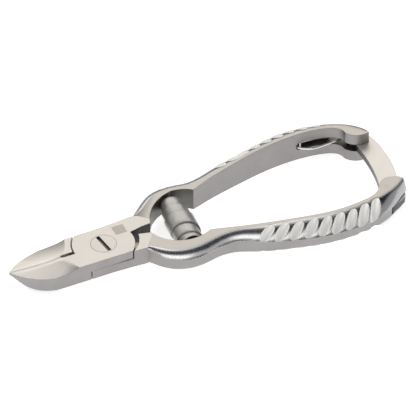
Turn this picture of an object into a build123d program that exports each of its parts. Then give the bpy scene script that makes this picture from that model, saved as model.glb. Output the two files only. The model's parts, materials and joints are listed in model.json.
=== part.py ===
from build123d import *
import os
from math import atan2, cos, degrees, hypot, radians, sin

# Lap-joint nail nipper with hollow-ground jaws, a barrel spring and a back lock.
#
# Frame: millimetres, +X from the jaws to the handle ends, +Z up, resting on Z = 0.
# The two halves are laid out from the pivot: half A carries the upper lap and the
# +Y handle, half B carries the lower lap and the -Y handle. Each half is drawn in its
# own plane, in which its handle lies at positive y and its lap at positive z.

os.makedirs("parts", exist_ok=True)

# Driving dimensions
PIVOT_X = -37.2
GRIP_HALF = 5.75
MID_Z = GRIP_HALF
JOINT_HALF = 3.4
LAP_GAP = 0.03
LAP_R = 10.6
LAP_RECESS_R = 11.0
JOINT_HALF_WIDTH = 7.65

# Jaws
TIP_X = -34.1
SEAM_GAP = 0.05
SLIT_END_X = -15.0
SLIT_HALF = 0.6
JAW_RELIEF = 1.7
HOLLOW_TILT = 8.6
HOLLOW_A = [(-9.6, 2.3), (-12, 1.16), (-14, 0.46), (-16, 0.05), (-19, -0.2), (-23.5, -0.38)]
HOLLOW_B = [(-10.4, 1.5), (-12.9, 0.45), (-16, 0.02), (-20, -0.3), (-24, -0.38)]
HOLLOW_FRONT = [(-28, -0.25), (-31.5, -0.05), (-36, 0.02)]

# Joint screw
SCREW_HEAD_R = 4.3
SCREW_HEAD_DEPTH = 1.5
SCREW_SHANK_R = 2.7
RUNNING_CLEARANCE = 0.05
SCREW_SLOT = (8.0, 1.3, 0.75)
SCREW_SLOT_ANGLE = 97.0

# Bevel of the handles: bulge over its chord, as a share of its width
BEVEL_CROWN = 0.15

# Grip grooves, ground by the rim of a small wheel
GROOVE_COUNT = 9
GROOVE_FIRST_X = 50.2
GROOVE_PITCH = 4.92
GROOVE_WHEEL_R = 24.0
GROOVE_RIM_R = 1.95
GROOVE_DEPTH = 0.98
GROOVE_LAST_BITE = 0.14
GROOVE_SLANT = 33.0
GROOVE_CENTRE = 0.6

# Lock
SLOT_HEIGHT = 3.0
SLOT_END_X = 84.0
CLASP_THICKNESS = 2.5
CLASP_PIVOT = (102.9, 16.1)
CLASP_HUB_R = 3.0
CATCH_PIN = (97.6, 17.6)
PIN_R = 0.9
PIN_RECESS = 0.1
WIRE_R = 0.4
WIRE_PIN = (84.4, 21.6)
WIRE_PIN_R = 0.45
WIRE_PIN_HALF = 2.4
WIRE_POINTS = [(93.5, 22.1), (83.1, 22.7), (83.0, 20.2), (86.6, 17.5), (92.5, 17.7), (99.7, 18.2)]
WIRE_RADII = [1.1, 1.1, 8.0, 12.0]
NOTCH_R = 1.2
NOTCH_ANGLE = 31.5
NOTCH_RUN = 4.0

# Barrel spring, from its seat on the B bow to its seat on the A bow
SPRING_SEAT_B = (28.0, -11.0)
SPRING_SEAT_A = (30.3, 13.9)
SPRING_GAP_B = 1.1
SPRING_GAP_A = 1.4
SPRING_R = 4.9
SPRING_NECK_R = 3.5
SPRING_WALL = 1.0
SPRING_TIER = 11.0
SPRING_STUD_GAP = 0.1
STUD_R = 2.0
STUD_ROOT = 2.4
STUD_B_LENGTH = 3.2
STUD_A_LENGTH = 3.4

centre = Plane(origin=(PIVOT_X, 0, MID_Z))
plane_b = Plane(origin=(PIVOT_X, 0, MID_Z), x_dir=(1, 0, 0), z_dir=(0, 0, -1))

# Handle stations: inner point, outer point, bevel width, half height, half height of the outer band
ARM_A = [
    ((20.2, 3.4), (15.0, 9.0), 0.8, 3.4, 3.0),
    ((20.9, 4.5), (17.4, 12.0), 2.2, 3.55, 2.2),
    ((22.6, 5.4), (20.4, 15.0), 3.0, 3.75, 1.9),
    ((25.6, 6.6), (24.2, 17.6), 3.1, 3.95, 1.8),
    ((29.0, 8.0), (28.7, 18.6), 3.1, 4.1, 1.8),
    ((33.5, 9.6), (34.1, 18.2), 3.0, 4.2, 1.9),
    ((38.2, 10.9), (37.9, 17.5), 3.1, 4.35, 2.1),
    ((44.0, 13.0), (42.4, 17.8), 3.1, 4.7, 2.4),
    ((52.0, 15.4), (50.0, 20.6), 3.9, 5.0, 2.1),
    ((60.0, 17.5), (58.7, 23.1), 4.5, 5.3, 1.7),
    ((70.0, 19.6), (69.0, 25.8), 4.9, 5.5, 1.6),
    ((80.0, 20.6), (80.0, 27.65), 5.4, 5.65, 1.5),
    ((88.0, 20.4), (88.8, 26.8), 4.9, 5.8, 1.5),
    ((94.4, 19.0), (96.4, 24.4), 4.2, 5.9, 1.5),
    ((97.5, 16.9), (101.8, 20.6), 3.0, 5.9, 1.7),
    ((98.3, 13.7), (105.2, 15.7), 1.6, 5.9, 2.2),
    ((98.6, 10.6), (106.5, 11.0), 0.6, 5.9, 3.5),
]
ARM_B = [
    ((17.4, 1.8), (12.2, 8.1), 0.9, 3.4, 3.0),
    ((19.0, 3.8), (14.5, 12.2), 2.6, 3.55, 2.2),
    ((22.0, 5.2), (18.3, 16.2), 3.2, 3.75, 1.9),
    ((25.5, 6.6), (23.4, 18.25), 3.2, 3.95, 1.8),
    ((29.0, 8.0), (28.6, 18.35), 3.0, 4.1, 1.8),
    ((33.5, 9.4), (34.1, 17.2), 2.6, 4.2, 1.9),
    ((38.2, 10.8), (38.0, 16.9), 2.9, 4.35, 2.1),
    ((44.0, 12.9), (42.2, 17.5), 3.2, 4.7, 2.4),
    ((52.0, 15.3), (49.7, 21.2), 4.7, 5.0, 2.1),
    ((60.0, 17.4), (58.4, 24.3), 5.8, 5.3, 1.7),
    ((70.0, 19.6), (68.8, 26.9), 6.0, 5.5, 1.6),
    ((80.0, 20.6), (80.0, 27.7), 5.6, 5.65, 1.5),
    ((87.5, 20.1), (88.4, 26.7), 4.8, 5.8, 1.5),
    ((92.6, 18.7), (94.9, 24.6), 3.9, 5.9, 1.5),
    ((95.3, 16.2), (100.0, 21.5), 2.4, 5.9, 1.6),
    ((96.6, 14.6), (103.6, 18.9), 1.7, 5.9, 1.8),
    ((98.4, 12.4), (106.6, 15.3), 1.3, 5.9, 2.2),
]


def section_plane(base, inner, outer):
    """Upright plane across the handle, with x outward from the inner wall."""
    start = base.from_local_coords(Vector(inner[0], inner[1], 0))
    end = base.from_local_coords(Vector(outer[0], outer[1], 0))
    across = (end - start).normalized()
    return Plane(origin=start, x_dir=across, z_dir=across.cross(base.z_dir))


def handle(base, stations):
    """Handle with an upright inner wall, flat edges and a crowned bevel, ground flat at its end."""
    spare = Plane(base.origin) * Box(300, 100, 10, align=(Align.CENTER, Align.CENTER, Align.MIN))
    with BuildPart() as body:
        for inner, outer, bevel, half, band in stations:
            width = hypot(outer[0] - inner[0], outer[1] - inner[1])
            flat = width - bevel
            crown = BEVEL_CROWN * bevel
            middle = (flat + bevel / 2 + crown * 0.6, (half + band) / 2 + crown * 0.8)
            with BuildSketch(section_plane(base, inner, outer)):
                with BuildLine():
                    Line((0, -half), (0, half))
                    Line((0, half), (flat, half))
                    ThreePointArc((flat, half), middle, (width, band))
                    Line((width, band), (width, -band))
                    ThreePointArc((width, -band), (middle[0], -middle[1]), (flat, -half))
                    Line((flat, -half), (0, -half))
                make_face()
        loft()
        add(Location((0, 0, GRIP_HALF)) * spare, mode=Mode.SUBTRACT)
        add(Location((0, 0, -GRIP_HALF - 10)) * spare, mode=Mode.SUBTRACT)
    return body.part


def grooves(base, path):
    """Rims of the grinding wheel, placed where they bite the bevels on both sides."""
    rims = []
    for index in range(GROOVE_COUNT):
        place = bevel_middle(path, GROOVE_FIRST_X + index * GROOVE_PITCH)
        depth = GROOVE_DEPTH + GROOVE_LAST_BITE * max(0, index - GROOVE_COUNT + 3)
        rims.append(groove_rim(base, place, depth, 1))
        rims.append(groove_rim(base, place, depth, -1))
    return rims


def bevel_middle(path, x):
    """Middle of the bevel at x: point, outward direction, drop angle and crown."""
    outer_xs = [station[1][0] for station in path]
    index = next(i for i in range(len(path) - 1) if outer_xs[i + 1] >= x)
    share = (x - outer_xs[index]) / (outer_xs[index + 1] - outer_xs[index])
    inner, outer, bevel, height, band = [blend(path[index][i], path[index + 1][i], share) for i in range(5)]
    width = hypot(outer[0] - inner[0], outer[1] - inner[1])
    out = ((outer[0] - inner[0]) / width, (outer[1] - inner[1]) / width)
    inset = bevel * (1 - GROOVE_CENTRE)
    point = (outer[0] - out[0] * inset, outer[1] - out[1] * inset, height + (band - height) * GROOVE_CENTRE)
    return point, out, atan2(height - band, bevel), BEVEL_CROWN * bevel


def blend(start, end, share):
    """Value part of the way from start to end, for a number or a pair."""
    if isinstance(start, tuple):
        return tuple(a + (b - a) * share for a, b in zip(start, end))
    return start + (end - start) * share


def groove_rim(base, place, depth, side):
    """Torus whose rim lies along the slanted groove and dips into the bevel."""
    point, out, drop, crown = place
    outward = Vector(out[0], out[1], 0)
    forward = Vector(out[1], -out[0], 0)
    upward = Vector(0, 0, 1)
    down_bevel = outward * cos(drop) - upward * sin(drop)
    normal = outward * sin(drop) + upward * cos(drop)
    along = down_bevel * cos(radians(GROOVE_SLANT)) - forward * sin(radians(GROOVE_SLANT))
    middle = Vector(*point) + normal * (GROOVE_WHEEL_R + GROOVE_RIM_R - depth + crown)
    middle = Vector(middle.X, middle.Y, side * middle.Z)
    axle = along.cross(normal)
    axle = Vector(axle.X, axle.Y, side * axle.Z)
    world = base.from_local_coords(middle)
    direction = base.from_local_coords(middle + axle) - world
    return Plane(origin=world, z_dir=direction) * Torus(GROOVE_WHEEL_R, GROOVE_RIM_R)


def upright(outline, base, low, high):
    """Upright solid between two heights over a closed outline drawn by a function."""
    with BuildPart() as block:
        with BuildSketch(base.offset(low)):
            with BuildLine():
                outline()
            make_face()
        extrude(amount=high - low)
    return block.part


def lap_outline():
    """Lap plate: a disc about the pivot cut flat at both flanks."""
    half_angle = degrees(atan2(JOINT_HALF_WIDTH, (LAP_R**2 - JOINT_HALF_WIDTH**2) ** 0.5))
    CenterArc((0, 0), LAP_R, -half_angle, 2 * half_angle)
    CenterArc((0, 0), LAP_R, 180 - half_angle, 2 * half_angle)
    flank_x = LAP_R * cos(radians(half_angle))
    Line((-flank_x, JOINT_HALF_WIDTH), (flank_x, JOINT_HALF_WIDTH))
    Line((-flank_x, -JOINT_HALF_WIDTH), (flank_x, -JOINT_HALF_WIDTH))


def shoulder_a_outline():
    """Block between the lap and the bow of half A."""
    Polyline((0, 0), (11.2, 1.6), (14.9, 2.4), (18.9, 2.7), (19.3, 4.4), (16.0, 8.1))
    Polyline((16.0, 8.1), (14.2, 8.6), (7, 8.05), (0, 7.65), (0, 0))


def shoulder_b_outline():
    """Block between the lap and the bow of half B."""
    Polyline((0, 0), (12.1, 0.5), (16.9, 1.7), (15.3, 5.5), (12.4, 8.3), (7, 7.9), (0, 7.65))
    Line((0, 7.65), (0, 0))


def shoulder_front_outline():
    """Rear limit of the space that the other half's lap turns in."""
    Line((-1, 9.5), (-1, -1))
    Line((-1, -1), (12.6, -1))
    Line((12.6, -1), (12.5, 0.5))
    ThreePointArc((12.5, 0.5), (10.85, 4.7), (7.7, 7.8))
    Line((7.7, 7.8), (6.9, 9.5))
    Line((6.9, 9.5), (-1, 9.5))


def pocket_a_outline():
    """Deep spring pocket in the bow of half A, its wall curving round to a sharp corner."""
    ThreePointArc((18.1, 1.3), (22.2, 9.3), (31.0, 13.9))
    ThreePointArc((31.0, 13.9), (34.9, 13.2), (38.4, 10.95))
    Polyline((38.4, 10.95), (38.4, 0), (18.1, 0), (18.1, 1.3))


def pocket_b_outline():
    """Round spring pocket in the bow of half B."""
    ThreePointArc((16.7, 1.6), (24.5, 10.45), (34.9, 9.75))
    Polyline((34.9, 9.75), (34.9, 0), (16.7, 0), (16.7, 1.6))


def jaw_outline():
    """One jaw from its tip to the middle of the joint, on the positive y side of the seam."""
    ThreePointArc((TIP_X, 0.12), (-28.6, 4.55), (-20.5, 7.6))
    Line((-20.5, 7.6), (-6, JOINT_HALF_WIDTH))
    Line((-6, JOINT_HALF_WIDTH), (-6, SLIT_HALF))
    Line((-6, SLIT_HALF), (SLIT_END_X, SLIT_HALF))
    Line((SLIT_END_X, SLIT_HALF), (SLIT_END_X - 0.9, SEAM_GAP))
    Line((SLIT_END_X - 0.9, SEAM_GAP), (TIP_X, SEAM_GAP))
    Line((TIP_X, SEAM_GAP), (TIP_X, 0.12))


def jaw(side, hollow):
    """Jaw on the side given by the sign, with its hollow-ground top, curved belly and relief."""
    outline = Plane(origin=(PIVOT_X, 0, MID_Z), x_dir=(1, 0, 0), z_dir=(0, 0, side))
    with BuildPart() as body:
        with BuildSketch(outline.offset(-JOINT_HALF)):
            with BuildLine():
                jaw_outline()
            make_face()
        extrude(amount=2 * JOINT_HALF)
        # belly, curving up to the point
        with BuildSketch(Plane(origin=(PIVOT_X, 0, MID_Z), x_dir=(1, 0, 0), z_dir=(0, -1, 0))):
            with BuildLine():
                Spline((-19, -3.4), (-24, -3.0), (-28, -2.0), (-30.6, -0.35), (-33, 1.9), (-34.8, 3.2))
                Polyline((-34.8, 3.2), (-40, 3.2), (-40, -6), (-19, -6), (-19, -3.4))
            make_face()
        extrude(amount=12, both=True, mode=Mode.SUBTRACT)
        # hollow-ground top, falling away from the seam to the outer edge
        with BuildSketch(hollow_plane(side)):
            with BuildLine():
                Spline(*hollow, *HOLLOW_FRONT)
                Polyline(HOLLOW_FRONT[-1], (-36.5, 6), (hollow[0][0], 6), hollow[0])
            make_face()
        extrude(amount=12, both=True, mode=Mode.SUBTRACT)
        # relief between the jaws, so that only the edges at the top meet
        with BuildSketch(Plane(origin=(PIVOT_X, 0, MID_Z), x_dir=(0, side, 0), z_dir=(side, 0, 0))):
            with BuildLine():
                Polyline(
                    (-1, 2.2), (SEAM_GAP, 2.2), (JAW_RELIEF, -3.6), (-1, -3.6), (-1, 2.2)
                )
            make_face()
        extrude(amount=-side * 40, mode=Mode.SUBTRACT)
    return body.part


def hollow_plane(side):
    """Plane along the jaws, square to the tilted direction in which the hollow runs."""
    tilt = radians(HOLLOW_TILT)
    across = Vector(0, side * cos(tilt), -sin(tilt))
    return Plane(origin=(PIVOT_X, 0, MID_Z + JOINT_HALF), x_dir=(1, 0, 0), z_dir=across * -side)


def half(base, stations, shoulder, pocket, rounding, side, hollow):
    """Forged half: jaw, lap, shoulder, bow, grip and end, before its holes and slots."""
    lap = upright(lap_outline, base, LAP_GAP / 2, JOINT_HALF)
    block = upright(shoulder, base, -JOINT_HALF, JOINT_HALF)
    other_lap = upright(shoulder_front_outline, base, -JOINT_HALF - 1, LAP_GAP / 2)
    pocket_cut = upright(pocket, base, -8, 8)
    arm = handle(base, stations)
    rims = grooves(base, stations)
    round_cuts = [upright(outline, base, -8, 8) for outline in rounding]
    jaw_block = jaw(side, hollow)
    recess = base.offset(-JOINT_HALF - 1) * Cylinder(
        LAP_RECESS_R, JOINT_HALF + 1 + LAP_GAP / 2, align=(Align.CENTER, Align.CENTER, Align.MIN)
    )
    with BuildPart() as body:
        add(jaw_block)
        add(recess, mode=Mode.SUBTRACT)
        add(block - other_lap)
        add(lap)
        add(arm)
        add(pocket_cut, mode=Mode.SUBTRACT)
        add(rims, mode=Mode.SUBTRACT)
        add(round_cuts, mode=Mode.SUBTRACT)
    return body.part


def end_a_inner_outline():
    """What rounds off the inner corner of the end of half A."""
    ThreePointArc((98.0, 14.9), (99.8, 12.2), (103.0, 10.8))
    Polyline((103.0, 10.8), (103.0, 8), (95, 8), (95, 14.9), (98.0, 14.9))


def end_a_outer_outline():
    """What rounds off the outer corner of the end of half A."""
    ThreePointArc((105.0, 10.9), (106.1, 11.3), (106.4, 12.5))
    Polyline((106.4, 12.5), (109, 12.5), (109, 8), (105.0, 8), (105.0, 10.9))


def end_b_inner_outline():
    """What rounds off the inner corner of the end of half B."""
    ThreePointArc((95.7, 15.8), (97.4, 13.9), (100.4, 13.1))
    Polyline((100.4, 13.1), (100.4, 11), (93, 11), (93, 15.8), (95.7, 15.8))


def end_b_outer_outline():
    """What rounds off the outer corner of the end of half B."""
    ThreePointArc((101.2, 13.4), (104.5, 15.1), (105.0, 18.0))
    Polyline((105.0, 18.0), (109, 18.0), (109, 11), (101.2, 11), (101.2, 13.4))


def slot_a_outline():
    """Slot along the inner wall of the +Y handle for the wire spring, open at the end for the clasp."""
    Line((SLOT_END_X, 16), (SLOT_END_X, 23.2))
    ThreePointArc((SLOT_END_X, 23.2), (90.2, 23.4), (96.0, 21.9))
    Polyline((96.0, 21.9), (98.6, 26), (112, 26), (112, 8), (96, 8), (96, 16), (SLOT_END_X, 16))


def slot_b_outline():
    """Slot through the end of the -Y handle that the clasp enters."""
    Polyline((95.6, 10), (95.6, 19), (97.0, 27), (112, 27), (112, 10), (95.6, 10))


def clasp_outline():
    """Curved bar: round hub, slim arm and a nose behind the catch notch."""
    hub_start = radians(-128)
    hub_end = radians(80)
    px, py = CLASP_PIVOT
    start = (px + CLASP_HUB_R * cos(hub_start), py + CLASP_HUB_R * sin(hub_start))
    left = (px - CLASP_HUB_R, py)
    end = (px + CLASP_HUB_R * cos(hub_end), py + CLASP_HUB_R * sin(hub_end))
    ThreePointArc(start, left, end)
    ThreePointArc(end, (106.0, 17.0), (107.9, 13.2))
    ThreePointArc((107.9, 13.2), (108.3, 1.5), (104.4, -13.5))
    Line((104.4, -13.5), (104.4, -17.6))
    ThreePointArc((104.4, -17.6), (104.0, -19.4), (102.6, -20.6))
    ThreePointArc((102.6, -20.6), (100.1, -22.0), (97.2, -23.2))
    Line((97.2, -23.2), (96.6, -22.4))
    Line((96.6, -22.4), (96.4, -16.5))
    ThreePointArc((96.4, -16.5), (100.5, -1.5), start)


# Joint screw: flush head in the upper lap, shank through both laps
head_base = JOINT_HALF - SCREW_HEAD_DEPTH
with BuildPart() as joint_screw:
    with BuildSketch(centre.offset(head_base)):
        Circle(SCREW_HEAD_R)
    extrude(amount=SCREW_HEAD_DEPTH)
    with BuildSketch(centre.offset(-JOINT_HALF)):
        Circle(SCREW_SHANK_R)
    extrude(amount=JOINT_HALF + head_base)
    with BuildSketch(centre.offset(JOINT_HALF)):
        Rectangle(SCREW_SLOT[0], SCREW_SLOT[1], rotation=SCREW_SLOT_ANGLE)
    extrude(amount=-SCREW_SLOT[2], mode=Mode.SUBTRACT)

# Forged halves
rounding_a = [end_a_inner_outline, end_a_outer_outline]
rounding_b = [end_b_inner_outline, end_b_outer_outline]
forged_a = half(centre, ARM_A, shoulder_a_outline, pocket_a_outline, rounding_a, -1, HOLLOW_A)
forged_b = half(plane_b, ARM_B, shoulder_b_outline, pocket_b_outline, rounding_b, 1, HOLLOW_B)

spring_start = Vector(PIVOT_X + SPRING_SEAT_B[0], SPRING_SEAT_B[1], MID_Z)
spring_end = Vector(PIVOT_X + SPRING_SEAT_A[0], SPRING_SEAT_A[1], MID_Z)
spring_axis = (spring_end - spring_start).normalized()
spring_length = (spring_end - spring_start).length
seat_b = Plane(origin=spring_start, x_dir=(0, 0, 1), z_dir=spring_axis)
seat_a = Plane(origin=spring_end, x_dir=(0, 0, 1), z_dir=spring_axis * -1)

with BuildPart() as half_a:
    add(forged_a)
    with BuildSketch(centre.offset(head_base - RUNNING_CLEARANCE)):
        Circle(SCREW_HEAD_R + RUNNING_CLEARANCE)
    extrude(amount=SCREW_HEAD_DEPTH + 1, mode=Mode.SUBTRACT)
    with BuildSketch(centre.offset(-1)):
        Circle(SCREW_SHANK_R + RUNNING_CLEARANCE)
    extrude(amount=JOINT_HALF + 1, mode=Mode.SUBTRACT)
    with BuildSketch(centre.offset(-SLOT_HEIGHT / 2)):
        with BuildLine():
            slot_a_outline()
        make_face()
    extrude(amount=SLOT_HEIGHT, mode=Mode.SUBTRACT)
    with BuildSketch(Plane(origin=(PIVOT_X + SLOT_END_X, 16, MID_Z), z_dir=(0, 1, 0))):
        Circle(SLOT_HEIGHT / 2)
    extrude(amount=7.2, mode=Mode.SUBTRACT)
    with BuildSketch(centre.offset(-GRIP_HALF)):
        with Locations(CLASP_PIVOT):
            Circle(PIN_R)
    extrude(amount=2 * GRIP_HALF - 1, mode=Mode.SUBTRACT)
    with BuildSketch(centre.offset(-WIRE_PIN_HALF)):
        with Locations(WIRE_PIN):
            Circle(WIRE_PIN_R)
    extrude(amount=2 * WIRE_PIN_HALF, mode=Mode.SUBTRACT)
    with BuildSketch(seat_a.offset(-STUD_ROOT)):
        Circle(STUD_R)
    extrude(amount=STUD_ROOT + 1, mode=Mode.SUBTRACT)

with BuildPart() as half_b:
    add(forged_b)
    with BuildSketch(centre.offset(-JOINT_HALF - 1)):
        Circle(SCREW_SHANK_R)
    extrude(amount=JOINT_HALF + 2, mode=Mode.SUBTRACT)
    with BuildSketch(plane_b.offset(-SLOT_HEIGHT / 2)):
        with BuildLine():
            slot_b_outline()
        make_face()
    extrude(amount=SLOT_HEIGHT, mode=Mode.SUBTRACT)
    with BuildSketch(plane_b.offset(-GRIP_HALF + 1)):
        with Locations(CATCH_PIN):
            Circle(PIN_R)
    extrude(amount=2 * GRIP_HALF, mode=Mode.SUBTRACT)
    with BuildSketch(seat_b.offset(-STUD_ROOT)):
        Circle(STUD_R)
    extrude(amount=STUD_ROOT + 1, mode=Mode.SUBTRACT)

# Lock clasp, its notch open along the way that the catch pin leaves it
notch_x = CATCH_PIN[0] - cos(radians(NOTCH_ANGLE)) * NOTCH_RUN / 2
notch_y = -CATCH_PIN[1] - sin(radians(NOTCH_ANGLE)) * NOTCH_RUN / 2
with BuildPart() as lock_clasp:
    with BuildSketch(centre.offset(-CLASP_THICKNESS / 2)):
        with BuildLine():
            clasp_outline()
        make_face()
        with Locations(CLASP_PIVOT):
            Circle(PIN_R + RUNNING_CLEARANCE, mode=Mode.SUBTRACT)
        with Locations(Location((notch_x, notch_y, 0), (0, 0, NOTCH_ANGLE))):
            SlotCenterToCenter(NOTCH_RUN, 2 * NOTCH_R, mode=Mode.SUBTRACT)
    extrude(amount=CLASP_THICKNESS)

# Pins, ground flush with the underside
with BuildPart() as clasp_pin:
    with BuildSketch(centre.offset(-GRIP_HALF + PIN_RECESS)):
        with Locations(CLASP_PIVOT):
            Circle(PIN_R)
    extrude(amount=2 * GRIP_HALF - 1 - PIN_RECESS)

with BuildPart() as catch_pin:
    with BuildSketch(centre.offset(-GRIP_HALF + PIN_RECESS)):
        with Locations((CATCH_PIN[0], -CATCH_PIN[1])):
            Circle(PIN_R)
    extrude(amount=2 * GRIP_HALF - 1 - PIN_RECESS)

with BuildPart() as wire_pin:
    with BuildSketch(centre.offset(-WIRE_PIN_HALF)):
        with Locations(WIRE_PIN):
            Circle(WIRE_PIN_R)
    extrude(amount=2 * WIRE_PIN_HALF)

# Wire spring: a hairpin round its pin, one leg in the slot, the other bearing on the clasp's hub
with BuildPart() as wire_spring:
    with BuildLine(centre):
        route = FilletPolyline(WIRE_POINTS, radius=WIRE_RADII)
    with BuildSketch(Plane(origin=route @ 0, z_dir=route % 0)):
        Circle(WIRE_R)
    sweep(path=route)

# Barrel spring: closed conical stack of strip, open towards the B bow
tail = spring_length - SPRING_GAP_A
with BuildPart() as barrel_spring:
    with BuildSketch(Plane(origin=spring_start, x_dir=(0, 0, 1), z_dir=Vector(0, 0, 1).cross(spring_axis))):
        with BuildLine():
            Polyline(
                (SPRING_R - SPRING_WALL, SPRING_GAP_B),
                (SPRING_R, SPRING_GAP_B),
                (SPRING_R, SPRING_GAP_B + SPRING_TIER),
                (SPRING_NECK_R, tail - 1.2),
                (SPRING_NECK_R - 1.0, tail),
                (STUD_R + SPRING_STUD_GAP, tail),
                (STUD_R + SPRING_STUD_GAP, tail - SPRING_WALL),
                (SPRING_NECK_R - SPRING_WALL, tail - SPRING_WALL - 1),
                (SPRING_R - SPRING_WALL, SPRING_GAP_B + SPRING_TIER),
                (SPRING_R - SPRING_WALL, SPRING_GAP_B),
            )
        make_face()
    revolve(axis=Axis(spring_start, spring_axis))

# Studs that hold the spring's two ends
with BuildPart() as spring_stud_a:
    with BuildSketch(seat_a.offset(-STUD_ROOT)):
        Circle(STUD_R)
    extrude(amount=STUD_ROOT + STUD_A_LENGTH)
    chamfer(spring_stud_a.edges().filter_by(GeomType.CIRCLE).sort_by(Axis.Y)[0], 0.5)

with BuildPart() as spring_stud_b:
    with BuildSketch(seat_b.offset(-STUD_ROOT)):
        Circle(STUD_R)
    extrude(amount=STUD_ROOT + STUD_B_LENGTH)
    chamfer(spring_stud_b.edges().filter_by(GeomType.CIRCLE).sort_by(Axis.Y)[-1], 0.5)

pieces = {
    "half_a": half_a,
    "half_b": half_b,
    "joint_screw": joint_screw,
    "barrel_spring": barrel_spring,
    "spring_stud_a": spring_stud_a,
    "spring_stud_b": spring_stud_b,
    "lock_clasp": lock_clasp,
    "clasp_pin": clasp_pin,
    "catch_pin": catch_pin,
    "wire_spring": wire_spring,
    "wire_pin": wire_pin,
}
for name, piece in pieces.items():
    piece.part.label = name
    export_step(piece.part, f"parts/{name}.step")
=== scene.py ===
import json
import math

import bpy
import numpy as np
from mathutils import Matrix, Vector


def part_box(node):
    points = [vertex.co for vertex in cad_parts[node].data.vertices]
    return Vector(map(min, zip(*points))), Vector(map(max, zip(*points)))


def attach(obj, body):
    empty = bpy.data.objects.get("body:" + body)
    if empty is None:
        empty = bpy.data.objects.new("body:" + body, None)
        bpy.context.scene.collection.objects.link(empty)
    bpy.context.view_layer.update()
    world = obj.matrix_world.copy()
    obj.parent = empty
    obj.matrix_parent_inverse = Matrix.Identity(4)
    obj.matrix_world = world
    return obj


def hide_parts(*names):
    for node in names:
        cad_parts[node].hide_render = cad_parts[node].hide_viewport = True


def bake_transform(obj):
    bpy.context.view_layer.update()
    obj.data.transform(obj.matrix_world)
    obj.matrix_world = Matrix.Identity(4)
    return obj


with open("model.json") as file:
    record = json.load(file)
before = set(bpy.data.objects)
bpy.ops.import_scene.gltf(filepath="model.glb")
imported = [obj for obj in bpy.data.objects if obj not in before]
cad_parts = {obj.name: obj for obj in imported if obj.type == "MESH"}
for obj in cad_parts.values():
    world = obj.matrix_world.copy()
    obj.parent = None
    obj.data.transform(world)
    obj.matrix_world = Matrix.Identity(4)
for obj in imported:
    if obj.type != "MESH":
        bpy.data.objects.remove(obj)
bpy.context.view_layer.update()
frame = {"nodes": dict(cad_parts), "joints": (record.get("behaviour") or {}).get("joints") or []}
NODES = frame["nodes"]
HINGE = Vector(frame["joints"][0]["pos_m"])
MM = 0.001
JOINT_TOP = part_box("joint_screw")[1].z


def spot(x, y, z=0.0):
    """Point in the row frame from millimetres measured from the hinge."""
    return HINGE + Vector((x, y, z)) * MM


# ---------------------------------------------------------------- finishes

WARM = (0.64, 0.60, 0.55)
NEUTRAL = (0.37, 0.355, 0.35)
# Painted shade: the handle flats get a darker copy of the warm satin colour.
GRIP_SHADED_COLOR = tuple(c * 0.8 for c in WARM)
WORN_GAIN = 1.22
ETCHED_SHADE = 0.2
FADED_SHADE = 0.25
MARK_CELLS = 7
MARK_GAP_SHARE = 0.35
MARK_STRENGTH = 0.9
CLOUD_SCALE = 140.0
SPECK_SCALE = 6500.0
NARROW_BEVEL_SAMPLES = 6
WIDE_BEVEL_SAMPLES = 12


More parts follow.
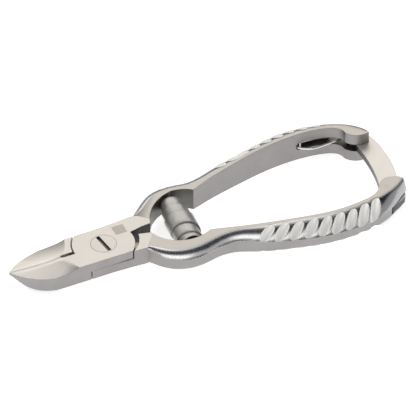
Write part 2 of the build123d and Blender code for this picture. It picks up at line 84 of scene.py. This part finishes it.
class Graph:
    """Small helper for building one node material."""

    def __init__(self, name):
        self.material = bpy.data.materials.new(name)
        self.material.use_nodes = True
        self.tree = self.material.node_tree
        self.shader = self.tree.nodes["Principled BSDF"]
        self.coords = self.add("ShaderNodeTexCoord").outputs["Object"]

    def add(self, kind, **settings):
        node = self.tree.nodes.new(kind)
        for key, value in settings.items():
            setattr(node, key, value)
        return node

    def link(self, output, socket):
        self.tree.links.new(output, socket)

    def put(self, socket, value):
        if isinstance(value, bpy.types.NodeSocket):
            self.link(value, socket)
        else:
            socket.default_value = value

    def noise(self, scale, stretch=(1, 1, 1), detail=3.0, turn=(0, 0, 0), seed=0.0):
        place = self.add("ShaderNodeMapping")
        place.inputs["Scale"].default_value = stretch
        place.inputs["Rotation"].default_value = turn
        place.inputs["Location"].default_value = (seed, seed * 0.7, seed * 1.3)
        self.link(self.coords, place.inputs["Vector"])
        node = self.add("ShaderNodeTexNoise")
        node.inputs["Scale"].default_value = scale
        node.inputs["Detail"].default_value = detail
        self.link(place.outputs["Vector"], node.inputs["Vector"])
        return node.outputs["Fac"]

    def math(self, operation, a, b=0.0, clamp=False):
        node = self.add("ShaderNodeMath", operation=operation, use_clamp=clamp)
        self.put(node.inputs[0], a)
        self.put(node.inputs[1], b)
        return node.outputs[0]

    def remap(self, value, low, high, out_low, out_high):
        node = self.add("ShaderNodeMapRange")
        self.link(value, node.inputs["Value"])
        node.inputs["From Min"].default_value = low
        node.inputs["From Max"].default_value = high
        node.inputs["To Min"].default_value = out_low
        node.inputs["To Max"].default_value = out_high
        return node.outputs["Result"]

    def mix(self, share, a, b, blend="MIX"):
        node = self.add("ShaderNodeMix", data_type="RGBA", blend_type=blend)
        self.put(node.inputs["Factor"], share)
        self.put(node.inputs[6], a if isinstance(a, bpy.types.NodeSocket) else (*a, 1))
        self.put(node.inputs[7], b if isinstance(b, bpy.types.NodeSocket) else (*b, 1))
        return node.outputs[2]

    def edge_mask(self, radius, strength):
        """One along the edges, where handling has rubbed them bright."""
        bevel = self.add("ShaderNodeBevel", samples=NARROW_BEVEL_SAMPLES)
        bevel.inputs["Radius"].default_value = radius
        face = self.add("ShaderNodeNewGeometry").outputs["Normal"]
        dot = self.add("ShaderNodeVectorMath", operation="DOT_PRODUCT")
        self.link(bevel.outputs["Normal"], dot.inputs[0])
        self.link(face, dot.inputs[1])
        return self.remap(dot.outputs["Value"], 0.995, 0.86, 0.0, strength)

    def along(self, direction, near, far, share):
        """Grows from 0 to a share between two distances, in mm from the hinge, along a direction."""
        dot = self.add("ShaderNodeVectorMath", operation="DOT_PRODUCT")
        self.link(self.coords, dot.inputs[0])
        dot.inputs[1].default_value = direction
        start = HINGE.dot(Vector(direction))
        return self.remap(dot.outputs["Value"], start + near * MM, start + far * MM, 0.0, share)

    def roll(self, narrow, radius, toward):
        """Wider rounding, only on the edges whose rounded normal leans toward a direction."""
        wide = self.add("ShaderNodeBevel", samples=WIDE_BEVEL_SAMPLES)
        wide.inputs["Radius"].default_value = radius * MM
        face = self.add("ShaderNodeNewGeometry").outputs["Normal"]
        lean = self.add("ShaderNodeVectorMath", operation="SUBTRACT")
        self.link(wide.outputs["Normal"], lean.inputs[0])
        self.link(face, lean.inputs[1])
        dot = self.add("ShaderNodeVectorMath", operation="DOT_PRODUCT")
        self.link(lean.outputs["Vector"], dot.inputs[0])
        dot.inputs[1].default_value = toward
        pick = self.add("ShaderNodeMix", data_type="VECTOR")
        self.link(self.math("GREATER_THAN", dot.outputs["Value"], 0.0), pick.inputs["Factor"])
        self.link(narrow, pick.inputs[4])
        self.link(wide.outputs["Normal"], pick.inputs[5])
        return pick.outputs[1]


def steel(
    name,
    color,
    rough,
    spread=0.05,
    grain=(1, 1, 1),
    grain_scale=2500.0,
    turn=(0, 0, 0),
    bump=0.12,
    depth=0.02,
    edge=0.28,
    wear=0.2,
    tint=0.06,
    seed=0.0,
    mark=None,
    metal=1.0,
    rolled=None,
    fade=None,
):
    """Bare steel: brushed grain, uneven polish, faint tint, and edges rubbed bright.

    Lengths edge and depth are in mm. The options are an etched mark, a wide rounding of some
    edges as (radius in mm, direction), and a painted shade, darker along a direction, given as
    the arguments of Graph.along.
    """
    g = Graph(name)
    streak = g.noise(grain_scale, grain, 4.0, turn, seed)
    cloud = g.noise(CLOUD_SCALE, (1, 1, 1), 4.0, (0, 0, 0), seed + 3)
    speck = g.noise(SPECK_SCALE, (1, 1, 1), 2.0, (0, 0, 0), seed + 7)
    edges = g.edge_mask(edge * MM, wear)
    dim = tuple(c * (1 - tint) for c in color)
    worn = tuple(min(1.0, c * WORN_GAIN) for c in color)
    base = g.mix(g.remap(cloud, 0.35, 0.65, 0.0, 1.0), dim, color)
    base = g.mix(g.remap(streak, 0.3, 0.7, 0.0, 0.55), base, dim)
    base = g.mix(edges, base, worn)
    # Painted shade: the colour darkens along a direction, standing in for dark reflections.
    if fade is not None:
        base = g.mix(g.along(*fade), base, tuple(c * FADED_SHADE for c in color))
    uneven = g.remap(streak, 0.25, 0.75, rough - spread, rough + spread)
    uneven = g.math("ADD", uneven, g.remap(cloud, 0.3, 0.7, -spread * 0.6, spread * 0.6))
    uneven = g.math("ADD", uneven, g.math("MULTIPLY", edges, -0.3 * rough), True)
    if mark is not None:
        etched = mark(g)
        base = g.mix(etched, base, tuple(c * ETCHED_SHADE for c in color))
        uneven = g.math("ADD", uneven, g.math("MULTIPLY", etched, 0.2), True)
    height = g.math("ADD", g.math("MULTIPLY", speck, 0.35), streak)
    soft = g.add("ShaderNodeBevel", samples=NARROW_BEVEL_SAMPLES)
    soft.inputs["Radius"].default_value = edge * MM
    rounded = soft.outputs["Normal"]
    if rolled is not None:
        rounded = g.roll(rounded, *rolled)
    relief = g.add("ShaderNodeBump")
    relief.inputs["Strength"].default_value = bump
    relief.inputs["Distance"].default_value = depth * MM
    g.link(height, relief.inputs["Height"])
    g.link(rounded, relief.inputs["Normal"])
    g.link(base, g.shader.inputs["Base Color"])
    g.link(uneven, g.shader.inputs["Roughness"])
    g.link(relief.outputs["Normal"], g.shader.inputs["Normal"])
    g.shader.inputs["Metallic"].default_value = metal
    return g.material


def dot_mark(low, high, cells):
    """Etched grid of equal square dots, a plain ornament, in the row frame."""

    def build(g):
        place = g.add("ShaderNodeMapping", vector_type="TEXTURE")
        size = (high.x - low.x, high.y - low.y)
        place.inputs["Location"].default_value = (low.x, low.y, 0)
        place.inputs["Scale"].default_value = (size[0] / cells, size[1] / cells, 1)
        g.link(g.coords, place.inputs["Vector"])
        parts = g.add("ShaderNodeSeparateXYZ")
        g.link(place.outputs["Vector"], parts.inputs[0])
        x, y = parts.outputs[0], parts.outputs[1]
        inside = 1.0
        for value in (x, y):
            dot = g.math("GREATER_THAN", g.math("FRACT", value), MARK_GAP_SHARE)
            inside = g.math("MULTIPLY", dot, inside)
            inside = g.math("MULTIPLY", g.math("GREATER_THAN", value, 0.0), inside)
            inside = g.math("MULTIPLY", g.math("LESS_THAN", value, float(cells)), inside)
        return g.math("MULTIPLY", inside, MARK_STRENGTH)

    return build


TOP = steel("satin_top", WARM, 0.36, grain=(1, 5, 1), turn=(0, 0, 0.25), seed=1, metal=0.8)
TOP_A = steel(
    "satin_top_marked",
    WARM,
    0.36,
    grain=(1, 5, 1),
    turn=(0, 0, 0.25),
    seed=2,
    metal=0.8,
    mark=dot_mark(spot(5.4, 2.0), spot(9.6, 6.2), MARK_CELLS),
)
# Painted shading, where the studio would reflect dark: direction, where it starts and is full, in mm
# from the hinge along that direction, and its share.
FAR_BOW_FADE = ((-0.75, 0.66, 0), -10.0, -5.5, 1.0)
NEAR_JAW_FADE = ((0.5, -0.86, 0), -3.5, 1.0, 0.7)
FAR_JAW_FADE = ((0.35, 0.94, 0), -6.5, 2.0, 0.85)
# Handle flats: satin grain along the handle, in the darker painted-shade colour; half A's also takes the far
# bow's painted shade.
GRIP_TOP_A = steel(
    "satin_grip_a_painted_shade",
    GRIP_SHADED_COLOR,
    0.36,
    grain=(5, 1, 1),
    seed=20,
    metal=0.8,
    rolled=(2.2, (0, 1, 0)),
    fade=FAR_BOW_FADE,
)
GRIP_TOP_B = steel(
    "satin_grip_b_painted_shade",
    GRIP_SHADED_COLOR,
    0.36,
    grain=(5, 1, 1),
    seed=21,
    metal=0.8,
    rolled=(2.2, (0, -1, 0)),
)
SIDE = steel("satin_side", NEUTRAL, 0.42, 0.08, grain=(6, 6, 1), bump=0.2, tint=0.16, seed=4)
# Painted shade: the pocket's walls get a dark colour, for the shade in the recess.
SHADED_POCKET = steel("satin_pocket_painted_shade", (0.20, 0.195, 0.185), 0.38, grain=(1, 1, 6), seed=5)


def polished(name, color, rough, seed):
    """Polished bevel that rolls over into the flat above it."""
    return steel(
        name,
        color,
        rough,
        0.03,
        (1, 1, 1),
        1800.0,
        bump=0.03,
        edge=0.2,
        seed=seed,
        rolled=(2.2, (0, 0, 1)),
    )


def hollow_ground(name, color, rough, turn, seed, fade):
    """Hollow grinding of a jaw, brushed across, that rolls over into the flat above it."""
    return steel(
        name,
        color,
        rough,
        0.06,
        (1, 7, 1),
        turn=(0, 0, turn),
        bump=0.2,
        edge=0.2,
        seed=seed,
        metal=0.8,
        rolled=(2.0, (0, 0, 1)),
        fade=fade,
    )


BEVEL_A = polished("polished_bevel_a", (0.50, 0.50, 0.51), 0.22, 24)
BEVEL_B = polished("polished_bevel_b", (0.68, 0.67, 0.68), 0.27, 6)
# Painted shade: the handle ends get a darker copy of the polished bevel, standing in for a dark reflection.
END_BEVEL_SHADE = polished("polished_end_painted_shade", (0.40, 0.40, 0.41), 0.24, 26)
GROOVE = steel(
    "ground_groove",
    (0.97, 0.945, 0.91),
    0.42,
    0.06,
    (1, 1, 5),
    bump=0.2,
    edge=0.08,
    wear=0.1,
    seed=8,
    metal=0.45,
)
HOLLOW_A = hollow_ground("hollow_ground_a", (0.83, 0.785, 0.73), 0.40, 0.1, 9, NEAR_JAW_FADE)
HOLLOW_B = hollow_ground("hollow_ground_b", (0.78, 0.735, 0.68), 0.34, -0.1, 25, FAR_JAW_FADE)
# Painted shade: the walls of the gap between the parts at the joint are nearly black.
GAP_SHADE = steel("gap_wall_painted_shade", (0.09, 0.088, 0.085), 0.45, grain=(1, 1, 6), wear=0.1, seed=22)
SEAM = steel("ground_edge", (0.80, 0.79, 0.77), 0.22, 0.05, (1, 1, 6), seed=10)
# Painted shade: the walls inside the slot and the underside of its upper flange are dark.
SLOT_SHADE = steel("slot_wall_painted_shade", (0.22, 0.205, 0.19), 0.45, 0.06, (4, 1, 1), wear=0.1, seed=11)
SLOT_BED = steel("slot_bed", (0.75, 0.73, 0.70), 0.45, 0.06, (4, 1, 1), seed=23, metal=0.7)
SCREW = steel(
    "screw_face",
    (0.61, 0.575, 0.53),
    0.36,
    grain=(1, 5, 1),
    turn=(0, 0, 0.9),
    edge=0.06,
    seed=12,
    metal=0.8,
)
# Painted shade: the driver slot of the screw is nearly black.
SHADED_SCREW_SLOT = steel("screw_slot_painted_shade", (0.20, 0.195, 0.19), 0.5, edge=0.04, wear=0.1, seed=13)
PIN = steel("pin_end", (0.62, 0.60, 0.57), 0.3, edge=0.06, seed=14)
STUD = steel("turned_stud", (0.70, 0.68, 0.64), 0.28, edge=0.1, seed=15)
CLASP_TOP = steel("clasp_face", (0.76, 0.715, 0.655), 0.42, grain=(5, 1, 1), seed=16, metal=0.8)
# Painted shade: the clasp's side faces are nearly black.
CLASP_SIDE_SHADE = steel("clasp_edge_painted_shade", (0.085, 0.085, 0.09), 0.33, grain=(1, 1, 5), seed=17)
WIRE = steel("drawn_wire", (0.92, 0.90, 0.87), 0.14, 0.04, (5, 1, 1), bump=0.05, edge=0.03, seed=18)
STRIP = steel(
    "rolled_strip",
    (0.56, 0.54, 0.51),
    0.38,
    0.08,
    (1, 1, 1),
    1500.0,
    bump=0.6,
    edge=0.06,
    tint=0.22,
    seed=19,
    metal=0.65,
)


def islands(mesh):
    """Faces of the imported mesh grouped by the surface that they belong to."""
    parent = list(range(len(mesh.vertices)))

    def root(i):
        while parent[i] != i:
            parent[i] = parent[parent[i]]
            i = parent[i]
        return i

    for face in mesh.polygons:
        first = root(face.vertices[0])
        for v in face.vertices[1:]:
            other = root(v)
            if other != first:
                parent[other] = first
    groups = {}
    for face in mesh.polygons:
        groups.setdefault(root(face.vertices[0]), []).append(face.index)
    return list(groups.values())


def survey(mesh, faces):
    """Area in mm2, mean upward share of the normals, and box in mm from the hinge."""
    areas = np.array([mesh.polygons[i].area for i in faces])
    ups = np.array([abs(mesh.polygons[i].normal.z) for i in faces])
    points = [mesh.vertices[v].co - HINGE for i in faces for v in mesh.polygons[i].vertices]
    points = np.array([list(p) for p in points]) / MM
    total = areas.sum()
    return total / MM**2, float((areas * ups).sum() / max(total, 1e-12)), points.min(0), points.max(0)


def finish_zones(node, choose):
    """Gives every surface of a CAD node the finish that choose() names for it."""
    mesh = node.data
    mesh.materials.clear()
    slots = {}
    for faces in islands(mesh):
        finish = choose(*survey(mesh, faces))
        if finish.name not in slots:
            slots[finish.name] = len(mesh.materials)
            mesh.materials.append(finish)
        for i in faces:
            mesh.polygons[i].material_index = slots[finish.name]


# What tells the surfaces of a half apart: places in mm from the hinge, lengths in mm, areas in mm2.
JAW_END_X = -9
EDGE_WIDTH = 0.4
SLOT_START_X = 80
SLOT_HALF = 1.5
SLOT_REACH = 1.6
LEVEL = 0.1
ARM_START_X = 10
GRIP_REACH_X = 15
GRIP_LOW_Z = 4
GROOVES_START_X = 40
GROOVE_LENGTH = 8
GROOVE_AREA = 10
END_START_X = 89
END_AREA = 60
GAP_X = (7, 19)
GAP_Y = (-8, 3)
POCKET_START_X = (12, 35)
POCKET_END_X = 40
POCKET_AREA = 60
# Least upward share of the normals of a flat, a jaw's grinding and a bevel.
FLAT_UP = 0.97
JAW_UP = 0.3
BEVEL_UP = 0.35


def half_zone(top, grip_top, bevel, hollow):
    """Finish of each surface of a half, told from its area, slope and place."""

    def choose(area, up, low, high):
        size = high - low
        if high[0] < JAW_END_X and up > JAW_UP and low[2] > -1.0:
            return hollow
        if high[0] < JAW_END_X and up < JAW_UP and size[1] < EDGE_WIDTH:
            return SEAM
        if low[2] > -SLOT_REACH and high[2] < SLOT_REACH and low[0] > SLOT_START_X:
            return SLOT_SHADE
        if size[2] < LEVEL and abs(abs(high[2]) - SLOT_HALF) < LEVEL and low[0] > SLOT_START_X:
            # The upward bed keeps a light colour; the downward face gets the painted shade.
            return SLOT_BED if high[2] < 0 else SLOT_SHADE
        if up > FLAT_UP:
            return grip_top if high[0] > GRIP_REACH_X and high[2] > GRIP_LOW_Z else top
        if up > BEVEL_UP and low[0] > GROOVES_START_X and size[0] < GROOVE_LENGTH and area > GROOVE_AREA:
            return GROOVE
        if up > BEVEL_UP and low[0] > ARM_START_X:
            return END_BEVEL_SHADE if low[0] > END_START_X and area > END_AREA else bevel
        if low[0] > GAP_X[0] and high[0] < GAP_X[1] and low[1] > GAP_Y[0] and high[1] < GAP_Y[1]:
            return GAP_SHADE
        starts_in_pocket = POCKET_START_X[0] < low[0] < POCKET_START_X[1]
        if starts_in_pocket and high[0] < POCKET_END_X and area > POCKET_AREA:
            return SHADED_POCKET
        return SIDE

    return choose


SCREW_FACE_Z = 3.39
DRIVER_SLOT_Z = 2
DRIVER_SLOT_DEPTH = 0.9
DRIVER_SLOT_AREA = 20
UPRIGHT = 0.5


def screw_zone(area, up, low, high):
    """Painted dark shade on the driver slot's floor and walls, and satin steel for the rest of the screw."""
    small = high[2] - low[2] < DRIVER_SLOT_DEPTH and area < DRIVER_SLOT_AREA
    sunk = high[2] < SCREW_FACE_Z or up < UPRIGHT
    return SHADED_SCREW_SLOT if small and sunk and low[2] > DRIVER_SLOT_Z else SCREW


def clasp_zone(area, up, low, high):
    """Satin flats, and edges dark with painted shade, for the clasp."""
    return CLASP_TOP if up > 0.9 else CLASP_SIDE_SHADE


def plain(finish):
    """One finish for a whole node."""
    return lambda area, up, low, high: finish


finish_zones(NODES["half_a"], half_zone(TOP_A, GRIP_TOP_A, BEVEL_A, HOLLOW_A))
finish_zones(NODES["half_b"], half_zone(TOP, GRIP_TOP_B, BEVEL_B, HOLLOW_B))
finish_zones(NODES["joint_screw"], screw_zone)
finish_zones(NODES["lock_clasp"], clasp_zone)
for name in ("clasp_pin", "catch_pin", "wire_pin"):
    finish_zones(NODES[name], plain(PIN))
for name in ("spring_stud_a", "spring_stud_b"):
    finish_zones(NODES[name], plain(STUD))
finish_zones(NODES["wire_spring"], plain(WIRE))
finish_zones(NODES["barrel_spring"], plain(STRIP))

# ---------------------------------------------------------------- barrel spring

SEAT_A = spot(30.3, 13.9)
SEAT_B = spot(28.0, -11.0)
SPRING_AXIS = (SEAT_B - SEAT_A).normalized()
SPRING_UP = Vector((0, 0, 1))
SPRING_SIDE = SPRING_AXIS.cross(SPRING_UP)


def mesh_piece(name, verts, faces, finish, smooth=True):
    """Mesh object in the scene, from points in metres in the row frame."""
    data = bpy.data.meshes.new(name)
    data.from_pydata([tuple(v) for v in verts], [], faces)
    data.materials.append(finish)
    for p in data.polygons:
        p.use_smooth = smooth
    data.update()
    obj = bpy.data.objects.new(name, data)
    bpy.context.scene.collection.objects.link(obj)
    return obj


# The strip: sizes in mm, the starting angle in radians, and the advance in mm per turn.
TURNS = 4.95
STEPS = 96
STRIP_WIDTH = 6.4
STRIP_T = 0.42
SPRING_FIRST = 1.3
SPRING_LAST = 23.8
PHASE = 4.37
PITCH = 4.45
CENTRE_FIRST = 2.78
TUCK_LENGTH = 1.3
TUCK_DEPTH = 0.45
# Radius of the strip by turn, growing down the barrel and then stepping in.
RADII = [(0, 3.3), (0.5, 3.55), (1.0, 3.9), (1.5, 4.25), (2.0, 4.55), (2.4, 4.85), (3.0, 4.95), (3.25, 4.35)]
RADII += [(3.6, 4.3), (4.0, 4.2), (4.25, 3.85), (4.6, 3.8), (5.0, 3.75)]


def spring_point(s, radius, angle):
    """Point at a distance and a radius, both in mm, from the seat in half A along the spring."""
    out = SPRING_SIDE * math.cos(angle) + SPRING_UP * math.sin(angle)
    return SEAT_A + (SPRING_AXIS * s + out * radius) * MM


def volute():
    """One strip wound edge over edge, with rolled edges, from the narrow end to the open end."""
    verts, faces = [], []
    turns, radii = zip(*RADII)
    count = int(TURNS * STEPS)
    # cross-section of the strip: (share of the width, share of the thickness)
    section = [(-0.5, -0.35), (-0.5, 0.25), (-0.492, 0.42), (-0.478, 0.5)]
    section += [(-0.3, 0.5), (-0.1, 0.5), (0.1, 0.5), (0.3, 0.5)]
    section += [(0.478, 0.5), (0.492, 0.42), (0.5, 0.25), (0.5, -0.35), (0.485, -0.5), (-0.485, -0.5)]
    size = len(section)
    for i in range(count + 1):
        turn = i / STEPS
        angle = PHASE + turn * 2 * math.pi
        centre = CENTRE_FIRST + PITCH * turn
        for along, thick in section:
            s = min(max(centre + along * STRIP_WIDTH, SPRING_FIRST), SPRING_LAST)
            # the narrow end is rolled inward
            tuck = max(0.0, 1 - (s - SPRING_FIRST) / TUCK_LENGTH) ** 2 * TUCK_DEPTH
            radius = float(np.interp(turn, turns, radii)) - tuck + thick * STRIP_T
            verts.append(spring_point(s, radius, angle))
    for i in range(count):
        for k in range(size):
            a = i * size + k
            b = i * size + (k + 1) % size
            faces.append((a, b, b + size, a + size))
    faces.append(tuple(range(size - 1, -1, -1)))
    faces.append(tuple(count * size + k for k in range(size)))
    return mesh_piece("volute_spring", verts, faces, STRIP)


def washer(name, s0, s1, inner, outer, finish, rounding=0.2):
    """Ring round the spring's axis, turned from a rounded section."""
    section = [(inner, s0), (outer - rounding, s0), (outer, s0 + rounding), (outer, s1 - rounding)]
    section += [(outer - rounding, s1), (inner, s1)]
    sides = 64
    verts, faces = [], []
    for i in range(sides):
        angle = 2 * math.pi * i / sides
        verts += [spring_point(s, r, angle) for r, s in section]
    size = len(section)
    for i in range(sides):
        j = (i + 1) % sides
        for k in range(size):
            n = (k + 1) % size
            faces.append((i * size + k, i * size + n, j * size + n, j * size + k))
    return mesh_piece(name, verts, faces, finish)


spring = volute()
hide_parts("barrel_spring")
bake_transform(spring)
end_cap = washer("spring_end_cap", 1.32, 1.75, 2.08, 3.1, STRIP)
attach(end_cap, "half_a_body")

# ---------------------------------------------------------------- floor, light and camera


def floor_material():
    """Pale studio paper, slightly self-lit so that it stays even."""
    g = Graph("pale_floor")
    cloud = g.noise(6.0, (1, 1, 1), 3.0)
    base = g.mix(g.remap(cloud, 0.3, 0.7, 0.0, 1.0), (0.91, 0.91, 0.91), (0.93, 0.93, 0.93))
    g.link(base, g.shader.inputs["Base Color"])
    g.shader.inputs["Roughness"].default_value = 0.9
    g.shader.inputs["Specular IOR Level"].default_value = 0.1
    g.shader.inputs["Emission Color"].default_value = (1, 1, 1, 1)
    g.shader.inputs["Emission Strength"].default_value = 0.55
    return g.material


FLOOR_HALF = 4
FLOOR_Z = -0.0001
floor = mesh_piece(
    "floor",
    [(x * FLOOR_HALF, y * FLOOR_HALF, FLOOR_Z) for x, y in ((-1, -1), (1, -1), (1, 1), (-1, 1))],
    [(0, 1, 2, 3)],
    floor_material(),
    False,
)

# The camera looks down at the joint from a metre away, shifted so that the tool fills the frame.
CAMERA_TURN = math.radians(-25.6)
CAMERA_TILT = math.radians(40.8)
CAMERA_SHIFT = (0.03483, 0.01183)
SENSOR_WIDTH = 36
CAMERA_LENS = 259.615
RIGHT = Vector((math.cos(CAMERA_TURN), math.sin(CAMERA_TURN), 0))
AWAY = Vector((-math.sin(CAMERA_TURN), math.cos(CAMERA_TURN), 0))
UPWARD = Vector((0, 0, 1))
CAMERA_UP = AWAY * math.sin(CAMERA_TILT) + UPWARD * math.cos(CAMERA_TILT)
FORWARD = AWAY * math.cos(CAMERA_TILT) - UPWARD * math.sin(CAMERA_TILT)
target = Vector((HINGE.x, HINGE.y, JOINT_TOP))
camera_data = bpy.data.cameras.new("camera")
camera_data.sensor_width = SENSOR_WIDTH
camera_data.lens = CAMERA_LENS
camera_data.clip_start = 0.05
camera = bpy.data.objects.new("camera", camera_data)
bpy.context.scene.collection.objects.link(camera)
place = target + RIGHT * CAMERA_SHIFT[0] + CAMERA_UP * CAMERA_SHIFT[1] - FORWARD
turned = Matrix((RIGHT, CAMERA_UP, -FORWARD)).transposed().to_4x4()
camera.matrix_world = Matrix.Translation(place) @ turned
bpy.context.scene.camera = camera

world = bpy.data.worlds.new("studio")
world.use_nodes = True
background = world.node_tree.nodes["Background"]
background.inputs["Color"].default_value = (0.97, 0.985, 1.0, 1)
background.inputs["Strength"].default_value = 0.62
bpy.context.scene.world = world
bpy.context.scene.view_settings.view_transform = "Standard"

STAGE_CENTRE = Vector((0, 0, 0.005))
STAGE_R = 0.8
CARD_R = 0.9 * STAGE_R
CARD_STEPS = 8
CARD_REACH = 1.2


def ray(elevation, sideways=0.0):
    """Direction at an elevation on the far side of the camera; over 90 degrees comes back over to it."""
    e = math.radians(elevation)
    return (AWAY * math.cos(e) + UPWARD * math.sin(e) + RIGHT * sideways).normalized()


def softbox(name, low, high, width, radiance, color, sideways):
    """Area light that fills the sky between two elevations."""
    data = bpy.data.lights.new(name, "AREA")
    data.shape = "RECTANGLE"
    data.size = width
    data.size_y = 2 * STAGE_R * math.tan(math.radians((high - low) / 2))
    data.energy = radiance * math.pi * data.size * data.size_y
    data.color = color
    light = bpy.data.objects.new(name, data)
    bpy.context.scene.collection.objects.link(light)
    back = ray((low + high) / 2, sideways)
    right = UPWARD.cross(back).normalized()
    up = back.cross(right).normalized()
    place = Matrix.Translation(STAGE_CENTRE + back * STAGE_R)
    light.matrix_world = place @ Matrix((right, up, back)).transposed().to_4x4()


def card_material():
    """Nearly black paper that reflects as a dark band."""
    g = Graph("dark_card")
    cloud = g.noise(3.0)
    base = g.mix(g.remap(cloud, 0.3, 0.7, 0.0, 1.0), (0.012, 0.014, 0.018), (0.02, 0.022, 0.026))
    g.link(base, g.shader.inputs["Base Color"])
    g.shader.inputs["Roughness"].default_value = 1.0
    g.shader.inputs["Specular IOR Level"].default_value = 0.0
    return g.material


CARD = card_material()


def card(name, low, high, left, right):
    """Black studio card seen only in reflections, curved round the object between two elevations."""
    verts, faces = [], []
    for i in range(CARD_STEPS + 1):
        direction = ray(low + (high - low) * i / CARD_STEPS)
        for side in (left, right):
            verts.append(STAGE_CENTRE + direction * CARD_R + RIGHT * side)
    for i in range(CARD_STEPS):
        faces.append((2 * i, 2 * i + 1, 2 * i + 3, 2 * i + 2))
    obj = mesh_piece(name, verts, faces, CARD, False)
    obj.visible_camera = False
    obj.visible_diffuse = False
    obj.visible_shadow = False


softbox("back_softbox", 24, 60, 1.1, 1.0, (1.0, 0.97, 0.925), -0.2)
softbox("front_softbox", 114, 150, 0.9, 1.05, (1.0, 0.99, 0.97), -0.12)
card("horizon_card", 3, 20, -CARD_REACH, CARD_REACH)
card("overhead_card", 66, 110, -CARD_REACH, CARD_REACH)
card("side_card", 14, 66, 0.42, CARD_REACH)
card("front_card", 148, 178, -CARD_REACH, CARD_REACH)
